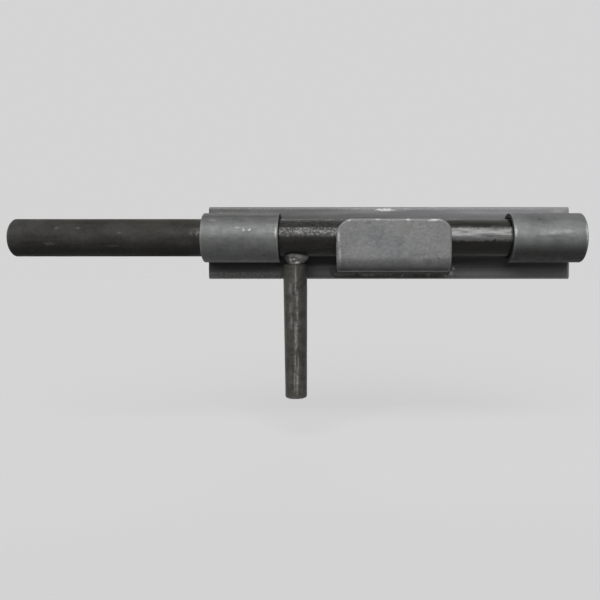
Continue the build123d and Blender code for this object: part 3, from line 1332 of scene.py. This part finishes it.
@dataclass
class LockTab(Part):
    """The bent tab in front of the bolt that blocks the handle."""

    thickness: float = 4.76 * MM
    bend: float = 4.76 * MM
    front_corner: float = 11.0 * MM
    rear_corner: float = 9.0 * MM
    side_bow: float = 0.7 * MM
    roll: float = 1.4 * MM
    roll_spread: Lumps = Lumps(0.25, 7 * MM, 2, 21)
    break_edge: float = 0.3 * MM
    uneven: Uneven = Uneven(0.05 * MM, 11 * MM, 60, 1.5 * MM, 0.11 * MM, (22, 23))
    edge_wear: float = 1.7 * MM
    inner_wear: float = 0.3
    wall_wear: float = 0.75
    under_at: float = 1.5 * MM
    under_reach: float = 1.4 * MM
    bend_shade: float = 0.8
    row_counts: tuple[int, int, int, int] = (24, 20, 16, 26)
    side_columns: tuple[float, ...] = (0, 0.2, 0.45, 0.75, 1.1, 1.5, 2.1, 3.0)
    middle_columns: int = 78
    column_span: int = 75
    wall_rows: int = 5

    def stations(self) -> tuple[Array, Array, Array]:
        """Walk up the inside of the bent strip from the plate to the top edge.

        Returns:
            Places (Y, Z) on the inside, the way out from each, and the height seen from the front.
        """
        low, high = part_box("lock_tab")
        inner_y, floor_z = low.y + self.thickness, low.z + self.thickness
        turn_y, turn_z = inner_y + self.bend, floor_z + self.bend
        corner, quarter = self.front_corner, math.pi / 2
        flange_rows, bend_rows, straight_rows, crest_rows = self.row_counts
        flange = np.linspace(self.layout.plate_face, turn_y, flange_rows)[:-1]
        angles = np.linspace(0, quarter, bend_rows)[:-1]
        straight = np.linspace(turn_z, high.z - corner, straight_rows)[:-1]
        crest = high.z - corner * (1 - np.sin(np.linspace(0, quarter, crest_rows)))
        leg = np.concatenate([straight, crest])
        places = np.concatenate([
            np.stack([flange, np.full_like(flange, floor_z)], 1),
            np.stack([turn_y - self.bend * np.sin(angles), turn_z - self.bend * np.cos(angles)], 1),
            np.stack([np.full_like(leg, inner_y), leg], 1),
        ])
        ways = np.concatenate([
            np.tile((0.0, -1.0), (len(flange), 1)),
            np.stack([-np.sin(angles), -np.cos(angles)], 1),
            np.tile((-1.0, 0.0), (len(leg), 1)),
        ])
        return places, ways, (places + ways * self.thickness)[:, 1]

    def sides(self, height: Array) -> tuple[Array, Array]:
        """Where the blank's two sides are, with the bow and the rounded corners.

        Args:
            height: heights seen from the front.

        Returns:
            The X of the front side and of the rear side at each height.
        """
        low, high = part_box("lock_tab")
        middle, half = (low.z + high.z) / 2, (high.z - low.z) / 2
        bow = self.side_bow * ((height - middle) / half) ** 2
        found = []
        for corner in (self.front_corner, self.rear_corner):
            rise = np.clip(height - (high.z - corner), 0, corner)
            found.append(bow + corner - np.sqrt(np.maximum(corner**2 - rise**2, 0)))
        return low.x + found[0], high.x - found[1]

    def inset(self, x: Array, height: Array) -> Array:
        """How far places on the blank are from its sheared edge.

        Args:
            x: the places' X.
            height: their heights seen from the front.

        Returns:
            A distance for each place.
        """
        low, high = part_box("lock_tab")
        left, right = self.sides(height)
        gaps = np.minimum(np.minimum(x - left, right - x), high.z - height)
        for corner, end, way in ((self.front_corner, low.x, 1), (self.rear_corner, high.x, -1)):
            centre = end + way * corner
            round_corner = (way * (x - centre) < 0) & (height > high.z - corner)
            gap = corner - np.hypot(x - centre, height - (high.z - corner))
            gaps = np.where(round_corner, np.minimum(gaps + self.side_bow, gap), gaps)
        return np.maximum(gaps, 0)

    def skin(self) -> Skin:
        """Lay the blank's two faces over the bent path and join them round the sheared edge.

        Returns:
            The tab's skin.
        """
        places, ways, seen = self.stations()
        fine = np.array(self.side_columns) / self.column_span
        ends = (4 / self.column_span, (self.column_span - 4) / self.column_span)
        across = np.concatenate([fine, np.linspace(*ends, self.middle_columns), 1 - fine[::-1]])
        left, right = (side[:, None] for side in self.sides(seen))
        x = left + (right - left) * across
        height = np.repeat(seen[:, None], len(across), 1)
        inset = self.inset(x, height)
        spots = np.stack([x, np.repeat(places[:, :1], len(across), 1), height], -1)
        roll = self.roll * (1 + self.roll_spread.at(spots))
        short = np.clip(roll - inset, 0, roll)
        drop = roll - np.sqrt(np.maximum(roll**2 - short**2, 0))
        outer = self.thickness - drop - self.uneven.sunk(spots)
        inner = self.break_edge * np.exp(-inset / self.break_edge)
        layers = []
        for lift in (outer, inner):
            y, z = (places[:, [axis]] + ways[:, [axis]] * lift for axis in (0, 1))
            layers.append(np.stack([x, y, z], -1).reshape(-1, 3))
        wall, wall_faces = self.wall(layers, self.rim(*x.shape))
        sheet = sheet_faces(*x.shape, False, False)
        faces = sheet + [tuple(number + x.size for number in face) for face in sheet] + wall_faces
        edge = near(inset, self.edge_wear).ravel()
        edge = np.concatenate([edge, self.inner_wear * edge, np.full(len(wall), self.wall_wear)])
        points = np.concatenate([*layers, wall])
        # Painted shade along the tab's foot, under the bend.
        under = points[:, 2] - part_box("lock_tab")[0].z - self.under_at
        soot = self.bend_shade * near(under, self.under_reach)
        return Skin(points, faces, {Mask.EDGE: edge, Mask.SOOT: soot})

    @staticmethod
    def rim(rows: int, columns: int) -> Array:
        """Numbers of the points round the edge of a sheet, in order."""
        numbers = np.arange(rows * columns).reshape(rows, columns)
        return np.concatenate([numbers[0, :-1], numbers[:-1, -1], numbers[-1, :0:-1], numbers[:0:-1, 0]])

    def wall(self, layers: Sequence[Array], rim: Array) -> tuple[Array, Faces]:
        """Join the rims of the two faces by a wall of small faces.

        Args:
            layers: the outer and the inner face's points.
            rim: numbers of the points round the edge of either.

        Returns:
            The new points between the rims, and the wall's faces.
        """
        top, bottom = (layer[rim] for layer in layers)
        rows, count, size = self.wall_rows, len(rim), len(layers[0])
        points = np.concatenate([top + (bottom - top) * row / rows for row in range(1, rows)])
        numbers = np.concatenate([rim, 2 * size + np.arange(len(points)), size + rim])
        quads = numbers[np.array(sheet_faces(rows + 1, count, False, True))]
        return points, [tuple(quad) for quad in quads.tolist()]


@dataclass
class Bolt(Part):
    """The round bar that slides in the guides."""

    chamfer: float = 1.0 * MM
    soft: float = 0.25 * MM
    centre: float = 0.2 * MM
    uneven: Uneven = Uneven(0.035 * MM, 8 * MM, 130, 1.2 * MM, 0.1 * MM, (31, 32))
    barrel_share: float = 0.8
    mesh_step: float = 1.9 * MM
    sides: int = 144

    def skin(self) -> Skin:
        """Turn the bar and give it shallow knocks.

        Returns:
            The bolt's skin.
        """
        low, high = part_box("bolt_rod")
        layout, radius = self.layout, self.layout.bolt_radius
        corners = [
            Corner(low.x, self.centre),
            Corner(low.x, radius - self.chamfer, self.soft),
            Corner(low.x + self.chamfer, radius, self.soft),
            Corner(high.x - self.chamfer, radius, self.soft),
            Corner(high.x, radius - self.chamfer, self.soft),
            Corner(high.x, self.centre),
        ]
        path, edge = rounded_path(corners, False, self.mesh_step)
        rows = turned(path, self.sides)
        sunk = self.uneven.sunk(layout.on_bolt_axis(rows))
        draw_in(rows, path, sunk * smooth_step(path[:, 1:], radius * self.barrel_share, radius))
        tips = [(end, layout.axis_y, layout.axis_z) for end in (low.x, high.x)]
        points = np.concatenate([layout.on_bolt_axis(rows).reshape(-1, 3), tips])
        masks = {Mask.EDGE: np.append(np.repeat(edge, self.sides), (0, 0))}
        return Skin(points, closed_ends(len(path), self.sides), masks)


@dataclass
class Handle(Part):
    """The drop handle, with a neck that its weld covers."""

    tip_radius: float = 7.35 * MM
    tip_round: float = 1.3 * MM
    lean: float = 0.85 * MM
    clearance: float = 0.05 * MM
    centre: float = 0.2 * MM
    uneven: Uneven = Uneven(0.05 * MM, 7 * MM, 60, 1.4 * MM, 0.12 * MM, (41, 42))
    ring_drops: Triple = (19.6 * MM, 22.0 * MM, 79.0 * MM)
    ring_depth: float = 0.14 * MM
    ring_reach: float = 0.6 * MM
    ring_break: Lumps = Lumps(1, 6 * MM, 2, 43, level=0.7)
    side_share: float = 0.85
    neck_radius: float = 4.5 * MM
    neck_round: float = 0.1 * MM
    neck_start: float = 0.7 * MM
    shoulder_drop: float = 5.3 * MM
    shoulder_round: float = 0.6 * MM
    shoulder_shade: Pair = (1.3 * MM, 0.3 * MM)
    heat_drop: Pair = (14 * MM, 3 * MM)
    heat_soot: float = 0.35
    shade_from: Pair = (0.3, 0.8)
    shade_soot: float = 0.3
    mesh_step: float = 0.6 * MM
    sides: int = 112

    def upright(self, rows: Array) -> Array:
        """Place rows turned about a nearly vertical axis under the bolt, with their front facing -Y.

        Args:
            rows: the turned rows.

        Returns:
            The rows in place.
        """
        layout = self.layout
        drop = (layout.axis_z - rows[..., 0]) / (layout.axis_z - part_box("handle")[0].z)
        middle = layout.handle_x + self.lean * drop
        return np.stack([middle + rows[..., 2], layout.axis_y - rows[..., 1], rows[..., 0]], axis=-1)

    def skin(self) -> Skin:
        """Turn the bar, round its tip and cut its top to a saddle under the bolt.

        Returns:
            The bar's skin.
        """
        layout, foot, radius = self.layout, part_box("handle")[0].z, self.layout.handle_radius
        bolt_low = layout.axis_z - layout.bolt_radius
        top, shoulder = bolt_low - self.clearance, bolt_low - self.shoulder_drop
        corners = [
            Corner(foot, self.centre),
            Corner(foot, self.tip_radius, self.tip_round),
            Corner(shoulder, radius, self.shoulder_round),
            Corner(shoulder, self.neck_radius, self.neck_round),
            Corner(top, self.neck_radius, self.neck_round),
            Corner(top, self.centre),
        ]
        path, edge = rounded_path(corners, False, self.mesh_step)
        along = path[:, :1]
        rows = turned(path, self.sides)
        placed = self.upright(rows)
        side = smooth_step(path[:, 1:], self.tip_radius * self.side_share, self.tip_radius)
        sunk = self.uneven.sunk(placed)
        broken = np.clip(self.ring_break.at(placed), 0, 1)
        for drop in self.ring_drops:
            sunk += self.ring_depth * broken * near(along - (layout.axis_z - drop), self.ring_reach)
        draw_in(rows, path, sunk * side)
        placed = self.upright(rows)
        lift = layout.saddle_height(placed[..., 1], self.clearance) - top
        placed[..., 2] += lift * smooth_step(along, shoulder + self.neck_start, top)
        tips = [(layout.handle_x + self.lean, layout.axis_y, foot), (layout.handle_x, layout.axis_y, top)]
        points = np.concatenate([placed.reshape(-1, 3), tips])
        tip_only = edge * (path[:, 0] < (foot + top) / 2)
        # Real heat tint below the weld, painted shade in a band along the shoulder under the cup, and
        # painted shade down the right side.
        heat = self.heat_soot * smooth_step(along, *(top - drop for drop in self.heat_drop))
        shade_band = smooth_step(along, *(shoulder - drop for drop in self.shoulder_shade))
        shaded = self.shade_soot * smooth_step(rows[..., 2] / radius, *self.shade_from) * side
        masks = {
            Mask.EDGE: np.append(np.repeat(tip_only, self.sides), (0, 0)),
            Mask.SOOT: np.append(np.maximum(np.maximum(heat, shade_band), shaded), (0, 0)),
        }
        return Skin(points, closed_ends(len(path), self.sides), masks)


@dataclass
class Collar(Part):
    """The cup of weld that joins the handle to the bolt."""

    clearance: float = Handle.clearance
    neck_radius: float = Handle.neck_radius
    drop: float = 5.2 * MM
    foot: Triple = (5.1 * MM, 6.2 * MM, 5.4 * MM)
    toe: Triple = (8.2 * MM, 9.7 * MM, 6.9 * MM)
    sides: int = 240
    rows: int = 34
    ripples: int = 9
    ripple_depth: float = 0.25 * MM
    ripple_twist: float = 1.7
    ripple_sway: float = 0.9
    lumps: Lumps = Lumps(0.7 * MM, 4 * MM, 3, 51, level=-0.3)
    lump_belly: float = 0.7
    foot_lumps: Lumps = Lumps(0.15 * MM, 5 * MM, 2, 52, level=1)
    inside_rows: Triple = (0.0, 0.5, 1.0)
    rim_wear: float = 0.4
    rim_reach: float = 0.08
    toe_dark: Pair = (0.88, 1.0)
    side_shadow: Pair = (0.4, 0.75)

    @staticmethod
    def oval(angle: Array, sizes: Triple) -> Array:
        """Radius of an oval by angle, with its reach towards -X, towards +X and across."""
        along = np.where(np.sin(angle) > 0, sizes[1], sizes[0])
        return 1 / np.sqrt((np.sin(angle) / along) ** 2 + (np.cos(angle) / sizes[2]) ** 2)

    def skin(self) -> Skin:
        """Lay a lumpy cup of weld on the handle's shoulder, flaring up to the bolt.

        Returns:
            The collar's skin.
        """
        layout, count = self.layout, self.sides
        angle = np.linspace(0, math.tau, count, endpoint=False)
        sine, cosine = np.sin(angle), np.cos(angle)
        share = np.linspace(0, 1, self.rows)[:, None]
        belly = np.sin(share * math.pi)
        foot, toe = self.oval(angle, self.foot), self.oval(angle, self.toe)
        sway = self.ripple_sway * np.sin(2 * angle + 1)
        ripple = np.abs(np.sin(angle * self.ripples / 2 + self.ripple_twist * share + sway))
        out = foot + (toe - foot) * share + self.ripple_depth * (ripple - 1) * belly
        spots = np.stack([out * sine, -out * cosine, np.repeat(share, count, 1) * 2 * self.drop], -1)
        out = out + self.lumps.at(spots) * belly**self.lump_belly
        x, y = layout.handle_x + out * sine, layout.axis_y - out * cosine
        bottom = layout.axis_z - layout.bolt_radius - self.drop
        start = bottom + self.foot_lumps.at(spots * np.array((1, 1, 0)))
        z = start + (layout.saddle_height(y, self.clearance) - start) * share
        inner = self.neck_radius + self.clearance
        ring = np.stack([layout.handle_x + inner * sine, layout.axis_y - inner * cosine], -1)
        top_z = layout.saddle_height(ring[:, 1], self.clearance)
        inside = [np.column_stack([ring, top_z + (start[0] - top_z) * part]) for part in self.inside_rows]
        points = np.concatenate([np.stack([x, y, z], -1), np.array(inside)])
        plain = np.zeros((len(inside), count))
        edge = self.rim_wear * near(share, self.rim_reach) * np.ones(count)
        # Darker towards the toe at the bolt, and painted shadow on the side towards the front pipe.
        soot = np.maximum(smooth_step(share, *self.toe_dark), smooth_step(-sine, *self.side_shadow))
        masks = {Mask.EDGE: np.concatenate([edge, plain]), Mask.SOOT: np.concatenate([soot, plain])}
        return Skin(points, sheet_faces(len(points), count, True, True), masks)


@dataclass
class Bead(Part):
    """A weld bead laid along the bolt's direction between two toes."""

    section: Array
    crown_points: int
    seed: int
    end_taper: float
    pitch: float = 3.1 * MM
    curl: float = 1.1 * MM
    wander: Lumps = Lumps(3.2 * MM, 9 * MM, 2, 0)
    ripple_depth: float = 0.3 * MM
    ripple_power: float = 0.7
    lumps: Lumps = Lumps(1, 4.6 * MM, 3, 0)
    lump_depth: float = 0.95 * MM
    lump_level: float = 0.8
    most_sunk: float = 0.6
    least_full: float = 0.02
    bright_level: float = 0.3
    toe_dark: float = 0.7
    hollow_soot: float = 1.4
    mesh_step: float = 0.35 * MM
    crease: float = field(default=70.0, kw_only=True)

    def skin(self) -> Skin:
        """Sweep the section, with ripples over its crown and rounded ends.

        Returns:
            The bead's skin.
        """
        low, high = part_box(self.node)
        length, count = high.x - low.x, len(self.section)
        along = np.linspace(0, length, int(length / self.mesh_step))
        to_end = np.minimum(along, length - along)
        to_full = 1 - np.clip(to_end / self.end_taper, 0, 1)
        full = np.sqrt(np.clip(1 - to_full**2, self.least_full, 1))
        root = self.section[0]
        shape = root + (self.section - root) * full[:, None, None]
        x = np.repeat((low.x + along)[:, None], count, 1)
        points = np.concatenate([x[..., None], shape], -1)
        crown = np.zeros(count)
        crown[1:self.crown_points + 1] = np.sin(np.linspace(0, math.pi, self.crown_points))
        swirl = along[:, None] + self.curl * np.linspace(-1, 1, count) ** 2
        swirl = swirl + replace(self.wander, seed=self.seed).at(points)
        ripple = np.abs(np.sin(swirl / self.pitch * math.pi)) ** self.ripple_power
        lumps = replace(self.lumps, seed=self.seed + 1).at(points)
        sink = (self.ripple_depth * (1 - ripple) + self.lump_depth * (self.lump_level - lumps)) * crown
        outward = points[..., 1:] - points[:, :1, 1:]
        reach = np.linalg.norm(outward, axis=-1, keepdims=True) + 1e-9
        points[..., 1:] -= outward / reach * np.minimum(sink[..., None], reach * self.most_sunk)
        last = (len(along) - 1) * count
        faces = sheet_faces(len(along), count, False, True)
        faces += [tuple(range(count)), tuple(range(last, last + count))]
        edge = np.clip(lumps + self.bright_level, 0, 1) * crown
        # Painted shade at the root and where the bead runs in under the pipe, and darker hollows between
        # the lumps.
        soot = np.clip((1 - crown) * self.toe_dark + self.hollow_soot * np.clip(-lumps, 0, 1), 0, 1)
        return Skin(points, faces, {Mask.EDGE: edge, Mask.SOOT: soot})


@dataclass
class Welds:
    """The beads that hold the tab and the pipes to the plate."""

    layout: Layout
    finish: SteelFinish
    crown: float = 0.5 * MM
    crown_points: int = 14
    tab_seed: int = 61
    tab_taper: float = 4.4 * MM
    tube_seed: int = 70
    tube_taper: float = 2.2 * MM
    tube_root: float = 3.0 * MM
    tube_plate_toe: float = 12.6 * MM
    tube_tube_toe: float = 10.8 * MM
    tube_points: int = 8

    def crowned(self, start: Array, end: Array, away: Array) -> Array:
        """A bulging line between two toes.

        Args:
            start: the first toe.
            end: the other toe.
            away: the point that it bulges away from.

        Returns:
            Points along the line.
        """
        share = np.linspace(0, 1, self.crown_points)[:, None]
        out = np.array((-(end - start)[1], (end - start)[0]))
        out = out / np.linalg.norm(out)
        out = out if out @ ((start + end) / 2 - away) > 0 else -out
        return start + (end - start) * share + out * self.crown * 4 * share * (1 - share)

    def tab_bead(self) -> Bead:
        """The fillet under the tab's flange.

        Returns:
            The bead.
        """
        low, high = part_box("tab_weld")
        root = np.array((high.y, high.z))
        arc = self.crowned(np.array((high.y, low.z)), np.array((low.y, high.z)), root)
        shape = (np.vstack([root, arc]), len(arc), self.tab_seed, self.tab_taper)
        return Bead(self.layout, self.finish, "tab_weld_bead", "tab_weld", *shape)

    def tube_bead(self, end: str, place: str, side: int, seed: int) -> Bead:
        """One flare bead beside a pipe.

        Args:
            end: which pipe, front or rear.
            place: upper or lower, as the solid is named.
            side: 1 above the bolt's axis, -1 below it.
            seed: picks the bead's lumps.

        Returns:
            The bead.
        """
        layout = self.layout
        heights = np.linspace(self.tube_tube_toe, self.tube_root, self.tube_points)
        depth = layout.axis_y + np.sqrt(layout.tube_radius**2 - heights**2)
        under = np.stack([depth, layout.axis_z + side * heights], 1)
        root, toe = (
            np.array((layout.plate_face, layout.axis_z + side * rise))
            for rise in (self.tube_root, self.tube_plate_toe)
        )
        arc = self.crowned(toe, under[0], root)
        node = f"{end}_tube_{place}_weld"
        shape = (np.vstack([root, arc, under[1:]]), len(arc), seed, self.tube_taper)
        return Bead(layout, self.finish, f"{node}_bead", node, *shape)

    def beads(self) -> list[Bead]:
        """Set out all the beads.

        Returns:
            The tab's bead and the four beside the pipes.
        """
        beads = [self.tab_bead()]
        places = itertools.product(("front", "rear"), (("upper", 1), ("lower", -1)))
        for number, (end, (place, side)) in enumerate(places):
            beads.append(self.tube_bead(end, place, side, self.tube_seed + 3 * number))
        return beads


# Studio


@dataclass(frozen=True)
class Lamp:
    """A broad soft light: its strength, its width and height in degrees, and its turn from the front."""

    name: str
    strength: float
    width: float
    height: float
    turn: float
    mirrored: bool = True

    def on_floor(self) -> float:
        """How bright it makes a white floor."""
        return self.strength * math.sin(math.radians(self.height)) / math.pi

    def hang(self) -> None:
        """Put the light in the scene, shining towards the latch."""
        data = bpy.data.lights.new(self.name, "SUN")
        data.energy = self.strength
        data.angle = math.radians(self.width)
        lamp = bpy.data.objects.new(self.name, data)
        rise, turn = math.radians(self.height), math.radians(self.turn)
        level = math.cos(rise)
        toward = Vector((-level * math.sin(turn), level * math.cos(turn), -math.sin(rise)))
        lamp.rotation_euler = toward.to_track_quat("-Z", "Y").to_euler()
        lamp.visible_glossy = self.mirrored
        bpy.context.scene.collection.objects.link(lamp)


@dataclass
class Studio:
    """Camera, lights, and a pale floor under a pale surround."""

    layout: Layout
    focal_px: float = 615.5
    frame_px: float = 600.0
    centre_px: Pair = (344.3, 270.0)
    axis_px: Pair = (390.8, 237.8)
    distance: float = 417.0 * MM
    sensor: float = 36.0
    near_clip: float = 0.01
    floor_gap: float = 30.0 * MM
    floor_radius: float = 8.0
    floor_sides: int = 96
    floor_colour: Triple = (0.2, 0.2, 0.2)
    white: Triple = (1.0, 1.0, 1.0)
    pale: float = 0.66
    key: Lamp = Lamp("key", strength=3.5, width=54.0, height=34.0, turn=-4.0)
    back: Lamp = Lamp("back", strength=2.4, width=60.0, height=14.0, turn=180.0, mirrored=False)
    even_strength: float = 0.02

    def camera(self) -> None:
        """Set the camera square on to the plate, where the picture was taken from."""
        per_px = self.distance / self.focal_px
        data = bpy.data.cameras.new("camera")
        data.sensor_width = self.sensor
        data.lens = self.focal_px / self.frame_px * self.sensor
        data.shift_x = (self.frame_px / 2 - self.centre_px[0]) / self.frame_px
        data.shift_y = (self.centre_px[1] - self.frame_px / 2) / self.frame_px
        data.clip_start = self.near_clip
        camera = bpy.data.objects.new("camera", data)
        camera.location = (
            (self.centre_px[0] - self.axis_px[0]) * per_px,
            self.layout.axis_y - self.distance,
            self.layout.axis_z - (self.centre_px[1] - self.axis_px[1]) * per_px,
        )
        camera.rotation_euler = (math.pi / 2, 0, 0)
        bpy.context.scene.collection.objects.link(camera)
        bpy.context.scene.camera = camera

    @staticmethod
    def seen(wire: Wiring) -> Socket:
        """A mask that is 1 where something is looked at or mirrored, and 0 where it only gives light.

        Args:
            wire: wiring over the tree that uses it.

        Returns:
            The mask.
        """
        ray = wire.node("ShaderNodeLightPath").outputs
        looked_at = wire.math("ADD", ray["Is Camera Ray"], ray["Is Glossy Ray"])
        return wire.math("ADD", looked_at, ray["Is Transmission Ray"], clamp=True)

    def paper(self) -> bpy.types.Material:
        """Dull paper that looks as pale as the surround, apart from the shadow on it.

        Returns:
            The paper's material.
        """
        made = bpy.data.materials.new("pale_paper")
        made.use_nodes = True
        wire = Wiring(made.node_tree)
        lit = self.floor_colour[0] * (self.key.on_floor() + self.back.on_floor() + self.even_strength)
        for label, value in {
            "Base Color": self.floor_colour,
            "Roughness": 1.0,
            "Specular IOR Level": 0.0,
            "Emission Color": self.white,
            "Emission Strength": wire.times(self.seen(wire), self.pale - lit),
        }.items():
            wire.feed(value, made.node_tree.nodes["Principled BSDF"].inputs[label])
        return made

    def floor(self) -> None:
        """Lay a wide flat floor under the latch."""
        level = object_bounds()[0].z - self.floor_gap
        angles = np.linspace(0, math.tau, self.floor_sides, endpoint=False)
        points = [(self.floor_radius * math.cos(a), self.floor_radius * math.sin(a), level) for a in angles]
        mesh = bpy.data.meshes.new("pale_floor")
        mesh.from_pydata(points, [], [tuple(range(self.floor_sides))])
        mesh.materials.append(self.paper())
        floor = bpy.data.objects.new("pale_floor", mesh)
        bpy.context.scene.collection.objects.link(floor)
        floor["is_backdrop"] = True

    def surround(self) -> None:
        """Set up a pale surround that gives only a faint even light."""
        world = bpy.data.worlds.new("pale_surround")
        world.use_nodes = True
        wire = Wiring(world.node_tree)
        shader = world.node_tree.nodes["Background"].inputs
        strength = wire.scaled(self.seen(wire), self.pale - self.even_strength, self.even_strength)
        wire.feed(self.white, shader["Color"])
        wire.feed(strength, shader["Strength"])
        bpy.context.scene.world = world

    def dress(self) -> None:
        """Put the studio round the latch."""
        self.camera()
        self.floor()
        self.key.hang()
        self.back.hang()
        self.surround()
        bpy.context.scene.view_settings.view_transform = "Standard"


def main() -> None:
    """Dress the latch, report each piece and put the latch in the studio."""
    logging.basicConfig(level=logging.INFO, format="%(name)s %(message)s")
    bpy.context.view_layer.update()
    layout = Layout.from_frame()
    finishes = Finishes(layout)
    for part in (
        Plate(layout, finishes.plate, "flat_bar_plate", "base_plate"),
        GuideTube(layout, finishes.front_pipe, "front_pipe", "front_guide_tube", 11, 1, 0.12 * MM),
        GuideTube(layout, finishes.rear_pipe, "rear_pipe", "rear_guide_tube", 15, -1),
        LockTab(layout, finishes.tab, "bent_lock_tab", "lock_tab"),
        Bolt(layout, finishes.bolt, "round_bolt", "bolt_rod", body=Body.BOLT),
        Handle(layout, finishes.handle, "drop_handle", "handle", body=Body.HANDLE),
        Collar(layout, finishes.collar, "handle_weld_collar", "handle_weld", body=Body.HANDLE),
        *Welds(layout, finishes.weld).beads(),
    ):
        piece = part.dress()
        LOG.info("%s: %d faces on %s", piece.name, len(piece.data.polygons), part.body.value)
    Studio(layout).dress()


if __name__ == "__main__":
    main()
